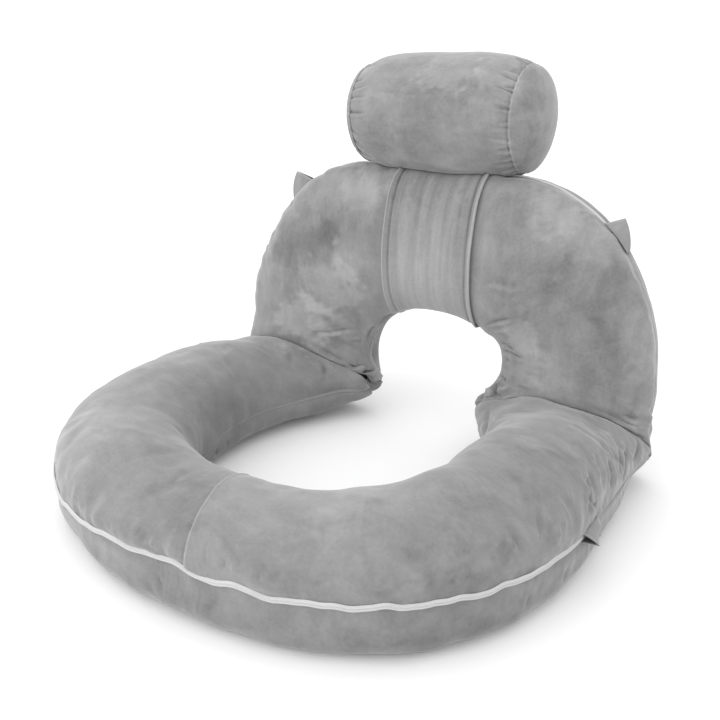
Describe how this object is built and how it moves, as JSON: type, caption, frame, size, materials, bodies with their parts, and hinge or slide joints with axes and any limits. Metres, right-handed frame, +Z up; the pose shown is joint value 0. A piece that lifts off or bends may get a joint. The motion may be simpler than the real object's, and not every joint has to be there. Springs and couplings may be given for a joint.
{
  "type": "reading pillow",
  "caption": "Floor reading pillow in grey velvet: horseshoe seat cushion, horseshoe back cushion folded up behind it, round head bolster on a broad strap, and coil zips with cloth end tabs.",
  "frame": {"origin": "on the floor, under the middle of the pillow's bounding box", "axes": "+Z up, +X to the right of the picture's seat, and the sitter faces -Y with the back cushion behind them towards +Y"},
  "size_m": [0.8228, 0.7746, 0.617],
  "materials": {
    "velvet": "short-pile velvet, brushed in cloudy patches",
    "zip_tape": "white coil zip on woven tape"
  },
  "bodies": {
    "root": {"seat_cushion": "velvet", "back_cushion": "velvet", "head_bolster": "velvet", "head_strap": "velvet", "seat_tab_left": "velvet", "seat_tab_right": "velvet", "back_tab_left": "velvet", "back_tab_right": "velvet", "seat_zip": "zip_tape", "back_zip": "zip_tape"}
  },
  "joints": []
}
